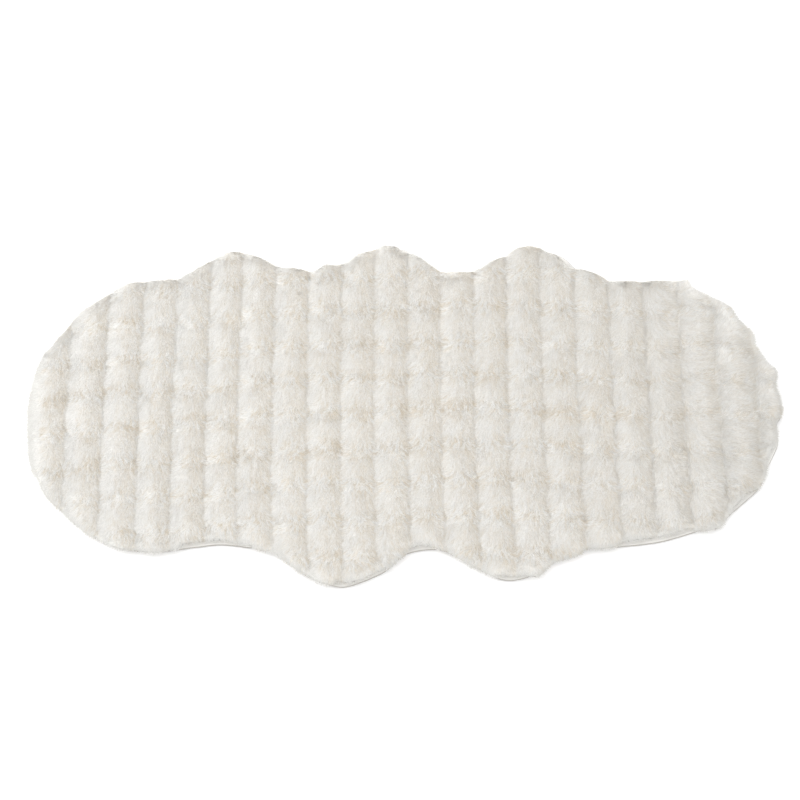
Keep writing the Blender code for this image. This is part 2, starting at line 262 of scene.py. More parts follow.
def ribAndRow(x, y):
    # u counts ribs from the left end, v counts rows from the near edge
    ribs = np.arange(len(relief["ribGrooves"])) - 2.0
    rows = np.arange(-2.0, relief["rowCount"] + 3)
    bowed = y + np.interp(x, *np.transpose(relief["rowDroop"]))
    roughRow = np.interp(bowed, rowGrooveY(rows), rows)
    scallop = relief["scallop"] * (np.abs(np.sin(math.pi * roughRow)) - 0.6)
    ruffled = smoothStep(*relief["ruffledX"], x)
    size, everywhere, more = relief["ribWander"]
    wander = relief["ribBend"] * (y / relief["halfWidth"]) ** 2 + relief["ribShift"]
    wander = wander + (everywhere + more * ruffled) * smoothNoise(x, y, size, 11)
    wander = wander - relief["endShift"] * smoothStep(*relief["endShiftX"], x)
    u = np.interp(x - wander + scallop, relief["ribGrooves"], ribs)
    jump = (cellNoise(np.floor(u), 0 * u, 12) - 0.5) * relief["rowJump"] * (1 + ruffled)
    size, reach = relief["rowWander"]
    v = np.interp(bowed + jump + reach * smoothNoise(x, y, size, 13), rowGrooveY(rows), rows)
    return u, v


def edgeMaps():
    # distance in from the tape's edge, the way inwards and the nearest station of the edge,
    # measured on a coarse raster that is then read between its samples
    coarse, batch = raster["coarse"], 4000    # a batch of places at a time saves memory
    cx, cy = np.meshgrid(np.arange(rasterLow[0], rasterHigh[0] + coarse, coarse),
                         np.arange(rasterLow[1], rasterHigh[1] + coarse, coarse))
    places = np.column_stack([cx.ravel(), cy.ravel()])
    nearest = np.empty(len(places), dtype=int)
    distance = np.empty(len(places))
    for start in range(0, len(places), batch):
        part = places[start:start + batch]
        gap = np.linalg.norm(part[:, None, :] - edge[None, :, :], axis=2)
        closest = gap.argmin(axis=1)
        inward = ((part - edge[closest]) * edgeNormals[closest]).sum(axis=1)
        nearest[start:start + batch] = closest
        distance[start:start + batch] = np.where(np.abs(inward) < raster["nearEdge"], inward,
                                                 np.sign(inward) * gap.min(axis=1))
    fine = np.column_stack([gridX.ravel(), gridY.ravel()])
    maps = []
    for values in (distance, edgeNormals[nearest, 0], edgeNormals[nearest, 1]):
        maps.append(readMap(values.reshape(cx.shape), fine, coarse).reshape(gridX.shape))
    station = nearest.reshape(cx.shape)[
        np.clip(np.rint((gridY - rasterLow[1]) / coarse).astype(int), 0, cx.shape[0] - 1),
        np.clip(np.rint((gridX - rasterLow[0]) / coarse).astype(int), 0, cx.shape[1] - 1)]
    return maps[0], maps[1], maps[2], station


def shareIn(x, y, stretches, blend):
    # 1 within the stretches of the rim and 0 outside them
    share = np.zeros(len(x))
    for side, start, end in stretches:
        begun, ended = (smoothStep(place - blend, place + blend, x) for place in (start, end))
        share = np.maximum(share, np.where(np.sign(y) == side, begun * (1 - ended), 0.0))
    return share


def furInset(places):
    # how far in from the tape's edge the pile ends, at places on the edge
    x, y = places[:, 0], places[:, 1]
    bare = shareIn(x, y, rim["bareStretches"], rim["bareBlend"])
    full = shareIn(x, y, rim["fullStretches"], rim["fullBlend"])
    u, _ = ribAndRow(x, y)
    groove = np.abs(np.cos(math.pi * u)) ** 6 * smoothStep(*rim["grooveY"], np.abs(y))
    ruffles = smoothNoise(x, y, rim["ruffleSize"], 22) * smoothStep(*rim["ruffledX"], x)
    locks = rim["lockReach"] * smoothNoise(x, y, rim["lockSize"], 21) + rim["ruffleReach"] * ruffles
    inset = rim["covered"] + (rim["bare"] - rim["covered"]) * bare
    inset = inset + rim["grooveIndent"] * groove * (1 - 0.5 * bare) - locks * (1 - 0.55 * bare)
    return np.clip(inset - rim["full"] * full, -rim["limit"], rim["limit"])


inset = furInset(edge)
edgeDistance, inwardX, inwardY, nearestStation = edgeMaps()
pileDistance = edgeDistance - blurMap(inset[nearestStation], 6)
ribMap, rowMap = ribAndRow(gridX, gridY)
ribFraction = ribMap - np.floor(ribMap)
rowValley = (0.5 + 0.5 * np.cos(2 * math.pi * rowMap)) ** 1.5    # 1 where two rows meet


def pileEnvelope():
    # the height that the tips of the pile reach
    atEnd = smoothStep(*relief["endX"], gridX)
    roundness = relief["ribRoundness"] + relief["endRoundness"] * atEnd
    ribArch = np.abs(np.sin(math.pi * ribFraction ** relief["ribLean"])) ** roundness
    least, chance = relief["rowFullness"]
    fullness = least + chance * cellNoise(np.floor(ribMap), np.floor(rowMap + 0.5), 31)
    sag = relief["sag"] * cellNoise(np.floor(ribMap), np.floor(rowMap), 32) * ribArch * (1 - rowValley)
    depth = relief["ribDepth"] + relief["endDepth"] * atEnd
    height = relief["crest"] - sag - depth * (1 - ribArch)
    # a row's groove runs out where it crosses a rib's
    height = height - relief["rowDepth"] * fullness * rowValley * (0.4 + 0.6 * ribArch)
    for number, (size, amount) in enumerate(relief["lumps"]):
        height = height + amount * smoothNoise(gridX, gridY, size, 33 + number)
    rise = np.clip(pileDistance / rim["rounding"], 0.0, 1.0)
    rounding = np.sqrt(1 - (1 - rise) ** 2)
    return rim["height"] + (height - rim["height"]) * rounding


envelope = blurMap(pileEnvelope(), 1)
slopeY, slopeX = np.gradient(blurMap(envelope, 6), raster["step"])
steepness = np.maximum(np.hypot(slopeX, slopeY) / rim["steepest"], 1.0)
slopeX, slopeY = slopeX / steepness, slopeY / steepness

comb = {
    "turn": -99.0,             # degrees: the pile is combed towards the near edge
    "waves": ((0.045, 11.0), (0.018, 10.0), (0.008, 7.0)),   # size, degrees
    "swirl": (0.013, 40.0),    # the same where two rows of bubbles meet
    "swirlShare": (0.15, 0.4),     # of it that is everywhere, and more at the right end
    "spread": 34.0,            # how far the pile turns away from each rib's middle, in degrees
    "valleySpread": 36.0,      # and how much further where two bubbles meet
    "calmLeft": (0.20, 0.40),      # -x where that spread starts to calm down, and is calm
    "rimWidth": 0.045,         # the pile turns outwards over this distance, but not at the far side
    "facingFar": (-0.4, 0.8), "facingLeft": (0.2, 0.9),    # which way the rim faces
    "endX": (0.33, 0.54),      # the right end's pile fans out from one place
    "endCentre": 0.28,
    "pull": 0.6,               # how much the pile falls down a slope
}


def turnTowards(angle, goal, share):
    # turns through the near or right side, so that the pile is never parted by a turn
    return angle + share * (np.mod(goal - angle + math.radians(100), 2 * math.pi) - math.radians(100))


def combMaps():
    # which way the pile lies in plan
    x, y = gridX, gridY
    angle = np.full(x.shape, math.radians(comb["turn"]))
    atEnd = smoothStep(*comb["endX"], x)
    angle = turnTowards(angle, np.arctan2(y, x - comb["endCentre"]), atEnd)
    facingFar = smoothStep(*comb["facingFar"], -inwardY)
    byRim = (1 - smoothStep(0.002, 1.0, pileDistance / comb["rimWidth"])) * (1 - facingFar)
    facingLeft = smoothStep(*comb["facingLeft"], inwardX)
    angle = turnTowards(angle, np.arctan2(-inwardY, -inwardX), byRim * (1 - 0.35 * facingLeft))
    fromMiddle = 2 * ribFraction - 1
    valleySpread = comb["valleySpread"] * (1 - 0.7 * smoothStep(*comb["calmLeft"], -x))
    spread = comb["spread"] * fromMiddle ** 3 + valleySpread * fromMiddle * rowValley
    angle = angle + np.radians(spread) * (1 - byRim) * (1 - atEnd)
    for number, (size, degrees) in enumerate(comb["waves"]):
        angle = angle + math.radians(degrees) * smoothNoise(x, y, size, 61 + number)
    size, degrees = comb["swirl"]
    everywhere, more = comb["swirlShare"]
    share = everywhere + rowValley + more * atEnd
    angle = angle + math.radians(degrees) * smoothNoise(x, y, size, 66) * share
    wayX = np.cos(angle) - comb["pull"] * slopeX
    wayY = np.sin(angle) - comb["pull"] * slopeY
    wayX, wayY = blurMap(wayX, 2), blurMap(wayY, 2)
    length = np.hypot(wayX, wayY) + 1e-6
    return wayX / length, wayY / length


def streakMap(reach, seed, blur=0):
    # fine noise drawn out along the lie of the pile, so that neighbours share a streak
    noise = np.random.default_rng(seed).normal(0, 1, gridX.shape)
    if blur:
        noise = blurMap(noise, blur)
    total = noise.copy()
    for sense in (1, -1):
        places = np.column_stack([gridX.ravel(), gridY.ravel()])
        for _ in range(int(reach / raster["step"])):
            way = np.column_stack([readMap(combX, places), readMap(combY, places)])
            places = places + sense * way * raster["step"]
            total = total + readMap(noise, places).reshape(gridX.shape)
    return np.clip(total / total.std(), -2.5, 2.5)


combX, combY = combMaps()
fineStreaks = streakMap(0.006, 64)       # 6 mm each way
curls = streakMap(0.003, 65, blur=1)     # shorter and broader
streakY, streakX = np.gradient(fineStreaks, raster["step"])
print("maps drawn:", gridX.shape)


def meshPiece(name, points, triangles, material):
    mesh = bpy.data.meshes.new(name)
    mesh.vertices.add(len(points))
    mesh.vertices.foreach_set("co", np.asarray(points, dtype=np.float32).ravel())
    mesh.loops.add(len(triangles) * 3)
    mesh.loops.foreach_set("vertex_index", np.asarray(triangles, dtype=np.int32).ravel())
    mesh.polygons.add(len(triangles))
    mesh.polygons.foreach_set("loop_start", np.arange(0, len(triangles) * 3, 3, dtype=np.int32))
    mesh.update(calc_edges=True)
    mesh.shade_smooth()
    mesh.materials.append(material)
    piece = bpy.data.objects.new(name, mesh)
    bpy.context.scene.collection.objects.link(piece)
    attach(piece, "root")
    return piece


def addNumbers(piece, name, values):
    attribute = piece.data.attributes.new(name, "FLOAT", "POINT")
    attribute.data.foreach_set("value", np.asarray(values, dtype=np.float32))


def addMap(piece, name, places):
    # a UV map from one place for each vertex
    corners = np.empty(len(piece.data.loops), dtype=np.int32)
    piece.data.loops.foreach_get("vertex_index", corners)
    layer = piece.data.uv_layers.new(name=name)
    layer.uv.foreach_set("vector", np.asarray(places, dtype=np.float32)[corners].ravel())


def linear(hexColour):
    # from an sRGB hex value to the linear colour that a socket takes
    channels = [int(hexColour[i:i + 2], 16) / 255 for i in (1, 3, 5)]
    return (*[c / 12.92 if c <= 0.04045 else ((c + 0.055) / 1.055) ** 2.4 for c in channels], 1.0)


def addNode(material, kind, settings=None, links=None):
    # settings go to the node's own fields, or by number or name to its inputs
    node = material.node_tree.nodes.new(kind)
    for key, value in (settings or {}).items():
        if isinstance(key, int) or key in node.inputs:
            node.inputs[key].default_value = value
        else:
            setattr(node, key, value)
    for key, source in (links or {}).items():
        material.node_tree.links.new(source, node.inputs[key])
    return node


def newMaterial(name, values):
    material = bpy.data.materials.new(name)
    material.use_nodes = True
    shader = material.node_tree.nodes["Principled BSDF"]
    for socket, value in values.items():
        shader.inputs[socket].default_value = value
    return material, shader


fibre = {
    "tip": "#f8f7f4", "root": "#e6dccb",
    "dullAndShaded": "#e2e2e1", "brightAndLit": "#ffffff",
    "surface": {"Roughness": 0.9, "Sheen Weight": 0.15, "Sheen Roughness": 0.5,
                "Specular IOR Level": 0.2},
}


def plushFibre():
    # acrylic plush: matt and fine; each fibre is off-white at its tip and warmer at its root,
    # and no two locks are quite the same tone
    # the tone attribute mixes grey to white: partly each lock's own tone, partly painted shade and painted
    # light
    material, shader = newMaterial("acrylic plush fibre", fibre["surface"])
    warmth = addNode(material, "ShaderNodeAttribute", {"attribute_name": "warmth"})
    tone = addNode(material, "ShaderNodeAttribute", {"attribute_name": "tone"})
    hue = addNode(material, "ShaderNodeMix",
                  {"data_type": "RGBA", 6: linear(fibre["tip"]), 7: linear(fibre["root"])},
                  {0: warmth.outputs["Fac"]})
    shade = addNode(material, "ShaderNodeMix",
                    {"data_type": "RGBA", 6: linear(fibre["dullAndShaded"]), 7: linear(fibre["brightAndLit"])},
                    {0: tone.outputs["Fac"]})
    colour = addNode(material, "ShaderNodeMix", {"data_type": "RGBA", "blend_type": "MULTIPLY", 0: 1.0},
                     {6: hue.outputs[2], 7: shade.outputs[2]})
    material.node_tree.links.new(colour.outputs[2], shader.inputs["Base Color"])
    return material


furMaterial = plushFibre()

# warmth runs from 0, a fibre's white tip, to 1, its beige root
mottle = {
    "base": 0.06,
    "middle": (0.30, 0.05),    # the mat's middle is warmer than its ends: half width, amount
    "ribGroove": 0.12,
    "ribShade": 0.15,          # a rib's right flank is the warmer one
    "ribShadeSpan": (0.22, 0.80),    # in shares of a rib's width, as each span is
    "coolerSpan": (0.01, 0.09, 0.12, 0.50),    # its left flank is the cooler: starts, full, ends
    "row": 0.30,               # patches where two rows of bubbles meet
    "curl": 0.10,              # and the beige curls in them
    "patch": (0.024, 0.009),   # their size, and that of their ragged edges
    "patchBelt": (-0.02, 0.09, 0.45),    # y of the belt where they show most, half width, least share
    "clouds": ((0.030, 0.05), (0.012, 0.05)),   # size, amount
    "speckle": 0.55,
}

# tone runs from 0, dull and shaded, to 1, bright and lit: each tuft's own tone together with painted shade
# and painted light
shade = {
    # x of the amounts below, from left to right; they are painted shade, the tone taken off everywhere, on
    # a rib's flanks and crown and where two rows meet (painted light where an amount is below 0), and the
    # warmth lost on its left flank
    "zones": (-0.50, -0.35, -0.20, 0.00, 0.20, 0.33, 0.45, 0.56),
    "level": (-0.07, -0.01, -0.05, -0.02, -0.03, -0.02, -0.03, 0.16),
    "crown": (-0.09, -0.04, -0.04, -0.05, -0.03, 0.06, -0.02, -0.09),
    "leftFlank": (0.30, 0.34, 0.18, 0.17, 0.15, 0.37, 0.08, 0.27),
    "rightFlank": (0.16, 0.06, -0.03, -0.04, 0.03, -0.03, 0.32, 0.52),
    "row": (0.10, 0.07, 0.12, 0.12, 0.10, 0.09, 0.09, 0.10),
    "cooler": (0.20, 0.18, 0.13, 0.07, 0.06, 0.02, 0.00, 0.00),
    # where on a rib, in shares of its width
    "leftSpan": (0.06, 0.44), "rightSpan": (0.25, 0.95), "grooveSpan": (0.00, 0.14),
    "crownAt": (0.48, 0.16),    # its middle, half width
    # how much one tuft's tone strays
    "smooth": 0.13, "roughRow": 0.15, "roughFlank": 0.11, "roughSpan": (0.30, 0.75),
    "endX": (0.25, 0.45),       # from the first x to the second the right end's pile sets in
}


def ribFractionAt(places):
    # 0 in the groove at a rib's left, 1 in the one at its right
    return np.mod(readMap(ribMap, places), 1.0)


def warmthAt(places):
    x, y = places[:, 0], places[:, 1]
    fraction, valley = ribFractionAt(places), readMap(rowValley, places)
    ribGroove = np.abs(np.cos(math.pi * fraction)) ** 10
    span = mottle["coolerSpan"]
    cooler = smoothStep(*span[:2], fraction) * (1 - smoothStep(*span[2:], fraction))
    cooler = cooler * np.interp(x, shade["zones"], shade["cooler"])
    large, ragged = mottle["patch"]
    patch = smoothStep(-0.2, 0.8, smoothNoise(x, y, large, 51) + 0.5 * smoothNoise(x, y, ragged, 52))
    beltY, beltWidth, least = mottle["patchBelt"]
    belt = least + (1 - least) * np.exp(-((y - beltY) / beltWidth) ** 2)
    middleWidth, middleWarmth = mottle["middle"]
    warmth = mottle["base"] + middleWarmth * np.exp(-(x / middleWidth) ** 2) - cooler
    warmth = warmth + mottle["ribGroove"] * ribGroove
    warmth = warmth + mottle["ribShade"] * smoothStep(*mottle["ribShadeSpan"], fraction)
    for number, (size, amount) in enumerate(mottle["clouds"]):
        warmth = warmth + amount * smoothNoise(x, y, size, 53 + number)
    curl = np.maximum(readMap(curls, places), 0)
    return warmth + valley ** 0.6 * patch * belt * (mottle["row"] + mottle["curl"] * curl)


def shadeAt(places):
    # painted shade and painted light, by how the light falls: on a rib's flanks and crown, where two
    # bubbles meet, and zone by zone along the mat
    fraction, valley = ribFractionAt(places), readMap(rowValley, places)
    leftFlank = 1 - smoothStep(*shade["leftSpan"], fraction)
    rightFlank = np.maximum(smoothStep(*shade["rightSpan"], fraction),
                            1 - smoothStep(*shade["grooveSpan"], fraction))
    crownMiddle, crownWidth = shade["crownAt"]
    crown = np.exp(-((fraction - crownMiddle) / crownWidth) ** 2)
    parts = {"level": 1.0, "leftFlank": leftFlank, "crown": crown, "rightFlank": rightFlank, "row": valley}
    return sum(share * np.interp(places[:, 0], shade["zones"], shade[name])
               for name, share in parts.items())


def rimNearAt(places):
    # 1 where the pile ends, 0 further in
    return 1 - smoothStep(0.0, rim["nearWidth"], readMap(pileDistance, places))


def roughAt(places):
    # the pile is combed smooth on top of a bubble, and ruffled between bubbles
    flank = smoothStep(*shade["roughSpan"], ribFractionAt(places))
    flank = flank * (1 - 0.7 * smoothStep(*shade["endX"], places[:, 0]))
    return shade["smooth"] + shade["roughRow"] * readMap(rowValley, places) + shade["roughFlank"] * flank


bed = {
    "spacing": 0.0052,
    "stray": 0.15,             # of the spacing
    "below": 0.0008,           # how far it lies under the tips at the rim
    "sunk": 0.0028,            # and how much further inside
    "sunkFrom": 0.012,         # which is reached this far in
    "clothIn": 0.0083,         # the cloth's cut edge, in from the tape's outer edge
    "clothLow": 0.0003, "clothHigh": 0.0047, "rimHigh": 0.0048,
    "rimIn": 0.0006, "innerIn": 0.0025, "fieldIn": 0.0052,    # its points, in from the pile's end
    "warmer": 0.08, "tone": 0.80, "rimShade": 0.30, "streakTone": 0.10,
    "backingWarmth": 0.40, "backingTone": 0.30,    # of the cloth's underside
}


def bedHeight(places):
    sunk = bed["sunk"] * smoothStep(0.0, bed["sunkFrom"], readMap(pileDistance, places))
    return readMap(envelope, places) - bed["below"] - sunk


def loopEdges(loop):
    return [(i, (i + 1) % len(loop)) for i in range(len(loop))]


def buildBed():
    # ground cloth and the dense lower pile, one closed sheet
    furRim = edge + edgeNormals * (inset[:, None] + bed["rimIn"])
    tapeInner = edge + edgeNormals * bed["clothIn"]
    rings, points = [], []
    for ring, height in ((tapeInner, bed["clothLow"]), (tapeInner, bed["clothHigh"]),
                         (furRim, bed["rimHigh"])):
        rings.append(np.arange(len(ring)) + sum(len(r) for r in rings))
        points.append(np.column_stack([ring, np.full(len(ring), height)]))
    triangles = []
    for lower, upper in zip(rings, rings[1:]):
        lowerNext, upperNext = np.roll(lower, -1), np.roll(upper, -1)
        triangles.append(np.column_stack([lower, lowerNext, upperNext]))
        triangles.append(np.column_stack([lower, upperNext, upper]))
    places = staggeredPlaces(bed["spacing"], bed["stray"], np.random.default_rng(41))
    places = places[readMap(pileDistance, places) > bed["fieldIn"]]
    inner = edge + edgeNormals * (inset[:, None] + bed["innerIn"])
    flat = [Vector(p) for p in np.vstack([furRim, inner, places])]
    placed, _, faces, sources, _, _ = delaunay_2d_cdt(flat, loopEdges(furRim), [], 1, 1e-7)
    placed = np.array([tuple(p) for p in placed])
    first = sum(len(r) for r in rings)
    points.append(np.column_stack([placed, bedHeight(placed)]))
    index = np.arange(len(placed)) + first
    upper = [(index[a], index[b], index[c]) for a, b, c in faces]
    # the rim's points in the upper face stand on the last ring
    rimOf = {source: i for i, group in enumerate(sources) for source in group if source < len(furRim)}
    rimTop = np.array([index[rimOf[i]] for i in range(len(furRim))])
    lower, lowerNext, rimNext = rings[-1], np.roll(rings[-1], -1), np.roll(rimTop, -1)
    triangles.append(np.column_stack([lower, lowerNext, rimNext]))
    triangles.append(np.column_stack([lower, rimNext, rimTop]))
    triangles.append(np.array(upper))
    flat = [Vector(p) for p in tapeInner]
    _, _, faces, sources, _, _ = delaunay_2d_cdt(flat, loopEdges(tapeInner), [], 1, 1e-7)
    triangles.append(np.array([(sources[c][0], sources[b][0], sources[a][0]) for a, b, c in faces]))
    return np.vstack(points), np.vstack(triangles)


bedPoints, bedTriangles = buildBed()
pileBed = meshPiece("pileBed", bedPoints, bedTriangles, furMaterial)
underneath = bedPoints[:, 2] < 0.001
bedWarmth = np.clip(warmthAt(bedPoints[:, :2]) + bed["warmer"], 0, 1)
addNumbers(pileBed, "warmth", np.where(underneath, bed["backingWarmth"], bedWarmth))
# painted shade: the bed is drawn darker at its rim and, as the pile is, on a rib's flanks and where two
# bubbles meet
bedTone = bed["tone"] - bed["rimShade"] * rimNearAt(bedPoints[:, :2]) - shadeAt(bedPoints[:, :2])
bedTone = bedTone + bed["streakTone"] * readMap(fineStreaks, bedPoints[:, :2])
addNumbers(pileBed, "tone", np.where(underneath, bed["backingTone"], bedTone))
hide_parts("fur_panel")
print("bed made:", len(bedTriangles), "triangles")

pile = {
    "pieces": 5,
    "tufts": 405000,
    "spread": 0.45,          # how far a tuft strays from an even grid, in shares of its step
    "rimIn": 0.0008,         # the outermost roots, in from the pile's end
    "length": 0.0072,
    "width": 0.00105,
    "lockLengths": (0.90, 0.2),        # of that length: the shortest lock, and what chance adds
    "ownLength": (0.85, 1.12), "ownWidth": (0.75, 1.25),    # least and greatest share in a lock
    "sunk": 0.0005,          # how deep the roots stand in the bed
    "lean": 58.0,            # degrees from upright
    "rimLean": 12.0,         # and how many more at the rim
    "leanStray": 5.0, "turnStray": 9.0,
    "clump": 0.0040,         # size of a lock
    "warp": (0.009, 0.003),  # locks lie in no rows: size, how far
    "gather": 0.07,          # how far a lock's tips come together
    "bellyAt": 0.38,         # along the tuft, where it is widest
    "crease": 0.25,          # how far it is folded along its middle, in widths
    "low": 0.0050,           # roots, and tips over the tape, stay above the tape
    "tipLow": 0.0054,
    "tipDrop": 0.0040,       # past the tape's edge the tips reach this much further down
    "pastTape": (-0.0004, -0.0012),    # in from that edge, so below 0 is past it
    "streakHeight": 0.0002,
    "seenAt": 0.0045,        # a tuft hides its neighbour's root, and shows this far along
    # light and tone
    "softness": 0.47,        # light soaks into deep pile, so its slopes shade less than a solid's
    "streakTilt": 0.00006,   # how far a streak's flanks turn the light
    "roundness": (0.05, 0.30, 0.10),   # how far root, sides and tip turn it
    "normalStray": 0.08,
    "tone": 0.76, "streakTone": 0.03, "lockTone": 0.04,
    "rimShade": 0.80,       # painted shade where the rim faces the near side and the ends
    "endShade": 0.60,       # more painted shade at the right end
    # painted shade on the left rim
    "leftShade": 0.44,
    "farLighter": 0.40,      # the far rim catches the light, but for its right end
    "farEndX": (0.43, 0.50), "farEndShade": 2.4,
    # warmth
    "streakWarmth": 0.07, "lockWarmth": 0.05,
    "curlWarmth": 0.06, "rowCurl": 0.19,    # everywhere, and more where two rows meet
    "rimCooler": 0.22, "leftCooler": 0.24,
    "facingFar": (-0.4, 0.8), "facingLeft": (0.3, 0.9),    # which way the rim faces
    "leftWidth": (0.004, 0.035),       # how far in from the left rim its shade reaches
    # what root, one side, tip and other side add; the tone there is partly the fibre's own and partly
    # painted shade at the root and one side, with a painted highlight towards the tip
    "cornerWarmth": (0.22, 0.08, -0.04, 0.08), "cornerTone": (-0.10, 0.02, 0.04, -0.06),
}


def surfaceNormal(places, share):
    normal = np.column_stack([-share * readMap(slopeX, places), -share * readMap(slopeY, places),
                              np.ones(len(places))])
    return normal / np.linalg.norm(normal, axis=1)[:, None]


def tuftRoots(rng):
    area = (pileDistance > 0).sum() * raster["step"] ** 2
    spacing = math.sqrt(area / pile["tufts"] / rowShare)
    places = staggeredPlaces(spacing, pile["spread"], rng)
    places = places[readMap(pileDistance, places) > pile["rimIn"]]
    return places[np.argsort(places[:, 0])]


def tuftLocks(places):
    # neighbours are drawn together into little locks: each one's middle, and two numbers of its own
    x, y = places[:, 0], places[:, 1]
    size, reach = pile["warp"]
    cellX = np.floor((x + reach * smoothNoise(x, y, size, 71)) / pile["clump"])
    cellY = np.floor((y + reach * smoothNoise(x, y, size, 72)) / pile["clump"])
    middle = np.column_stack([(cellX + 0.25 + 0.5 * cellNoise(cellX, cellY, 73)) * pile["clump"],
                              (cellY + 0.25 + 0.5 * cellNoise(cellX, cellY, 74)) * pile["clump"]])
    return middle, cellNoise(cellX, cellY, 75), cellNoise(cellX, cellY, 76)


def tuftNormals(places, ray, side, rng):
    # light falls on a tuft as on the pile around it, and turns a little with its own form
    soft = surfaceNormal(places, pile["softness"] * (1 - 0.6 * rimNearAt(places)))
    tilt = -pile["streakTilt"] * np.column_stack([readMap(streakX, places), readMap(streakY, places),
                                                  np.zeros(len(places))])
    atRoot, atSide, atTip = pile["roundness"]
    corners = []
    for push in (-ray * atRoot, side * atSide, ray * atTip, -side * atSide):
        leaning = soft + tilt + push + rng.normal(0, pile["normalStray"], (len(places), 3))
        corners.append(leaning / np.linalg.norm(leaning, axis=1)[:, None])
    return np.stack(corners, axis=1).reshape(-1, 3)


def tuftColours(places, way, lockTone, rng):
    count = len(places)
    rimNear, valley = rimNearAt(places), readMap(rowValley, places)
    streak = readMap(fineStreaks, places)
    curl = readMap(curls, places + way * pile["seenAt"])
    atEnd = smoothStep(*shade["endX"], places[:, 0])
    farSide = smoothStep(*pile["facingFar"], -readMap(inwardY, places))
    leftSide = smoothStep(*pile["facingLeft"], readMap(inwardX, places))
    leftSide = leftSide * (1 - smoothStep(*pile["leftWidth"], readMap(pileDistance, places)))
    rough = roughAt(places) * (1 - 0.4 * rimNear)
    warmth = warmthAt(places) + mottle["speckle"] * rough * rng.normal(0, 1, count)
    warmth = warmth - pile["streakWarmth"] * streak - pile["lockWarmth"] * (lockTone - 0.5)
    warmth = warmth - (pile["curlWarmth"] + pile["rowCurl"] * valley) * (1 - 0.45 * atEnd) * curl
    warmth = warmth - pile["rimCooler"] * rimNear - pile["leftCooler"] * leftSide
    # painted shade on the rim facing the near side, the ends and the left, and on rib flanks and between
    # bubbles; painted light on the far rim, turned to painted shade at its right end
    outer = rimNear * (1 - farSide)
    tone = pile["tone"] - shadeAt(places) - (pile["rimShade"] + pile["endShade"] * atEnd) * outer
    farEnd = pile["farEndShade"] * smoothStep(*pile["farEndX"], places[:, 0])
    tone = tone - pile["leftShade"] * leftSide + pile["farLighter"] * rimNear * farSide * (1 - farEnd)
    tone = tone + pile["streakTone"] * streak + pile["lockTone"] * (lockTone - 0.5)
    tone = tone + rough * rng.normal(0, 1, count)
    warmth = (warmth[:, None] + np.array(pile["cornerWarmth"])).ravel()
    tone = (tone[:, None] + np.array(pile["cornerTone"])).ravel()
    return np.clip(warmth, 0, 1), np.clip(tone, 0, 1)


def growTufts(places, rng):
    # each tuft is a slim leaf, creased along its ridge from root to tip
    count = len(places)
    normal = surfaceNormal(places, 1.0)
    rimNear = rimNearAt(places)
    turned = rng.normal(0, math.radians(pile["turnStray"]), count) * (1 + 2 * rimNear)
    alongX, alongY = readMap(combX, places), readMap(combY, places)
    way = np.column_stack([alongX * np.cos(turned) - alongY * np.sin(turned),
                           alongX * np.sin(turned) + alongY * np.cos(turned)])
    way /= np.linalg.norm(way, axis=1)[:, None]
    lockMiddle, lockLength, lockTone = tuftLocks(places)
    shortest, chance = pile["lockLengths"]
    length = pile["length"] * (shortest + chance * lockLength) * rng.uniform(*pile["ownLength"], count)
    length = length * (1 - 0.15 * rimNear)
    lean = np.radians(pile["lean"] + pile["rimLean"] * rimNear + rng.normal(0, pile["leanStray"], count))
    flat = np.column_stack([way, np.zeros(count)])
    flat = flat - normal * (flat * normal).sum(axis=1)[:, None]
    flat /= np.linalg.norm(flat, axis=1)[:, None]
    ray = flat * np.sin(lean)[:, None] + normal * np.cos(lean)[:, None]
    root = np.column_stack([places, bedHeight(places)]) - normal * pile["sunk"]
    root = root + normal * (pile["streakHeight"] * readMap(fineStreaks, places) * (1 - rimNear))[:, None]
    tip = root + ray * length[:, None]
    tip[:, :2] += (lockMiddle + way * (length * 0.8)[:, None] - tip[:, :2]) * pile["gather"]
    # the rim's tufts hang over the tape, and past its edge they reach down beside it
    pastTape = smoothStep(*pile["pastTape"], readMap(edgeDistance, tip[:, :2]))
    tip[:, 2] = np.maximum(tip[:, 2], pile["tipLow"] - pile["tipDrop"] * pastTape)
    root[:, 2] = np.maximum(root[:, 2], pile["low"])
    ray = tip - root
    ray /= np.linalg.norm(ray, axis=1)[:, None]
    side = np.cross(ray, normal)
    side /= np.linalg.norm(side, axis=1)[:, None]
    width = pile["width"] * rng.uniform(*pile["ownWidth"], count)[:, None]
    belly = root * (1 - pile["bellyAt"]) + tip * pile["bellyAt"]
    belly = belly - np.cross(side, ray) * width * pile["crease"]
    corners = (root, belly + side * width * 0.5, tip, belly - side * width * 0.5)
    points = np.stack(corners, axis=1).reshape(-1, 3)
    base = np.arange(count)[:, None] * 4
    triangles = np.stack([base + np.array([[0, 1, 2]]), base + np.array([[0, 2, 3]])], axis=1)
    normals = tuftNormals(places, ray, side, rng)
    warmth, tone = tuftColours(places, way, lockTone, rng)
    return points, triangles.reshape(-1, 3), normals, warmth, tone


def buildPile():
    rng = np.random.default_rng(81)
    places = tuftRoots(rng)
    made = []
    for number, part in enumerate(np.array_split(places, pile["pieces"])):
        points, triangles, normals, warmth, tone = growTufts(part, rng)
        piece = meshPiece("pileTufts%d" % (number + 1), points, triangles, furMaterial)
        addNumbers(piece, "warmth", warmth)
        addNumbers(piece, "tone", tone)
        # the pile's colour hangs on two numbers alone, so they are its map when it is baked
        addMap(piece, "OFBake", np.column_stack([0.02 + 0.96 * warmth, 0.02 + 0.96 * tone]))
        piece.data.normals_split_custom_set_from_vertices(normals.tolist())
        made.append(piece)
        print("tufts made:", len(part))
    return made


tufts = buildPile()

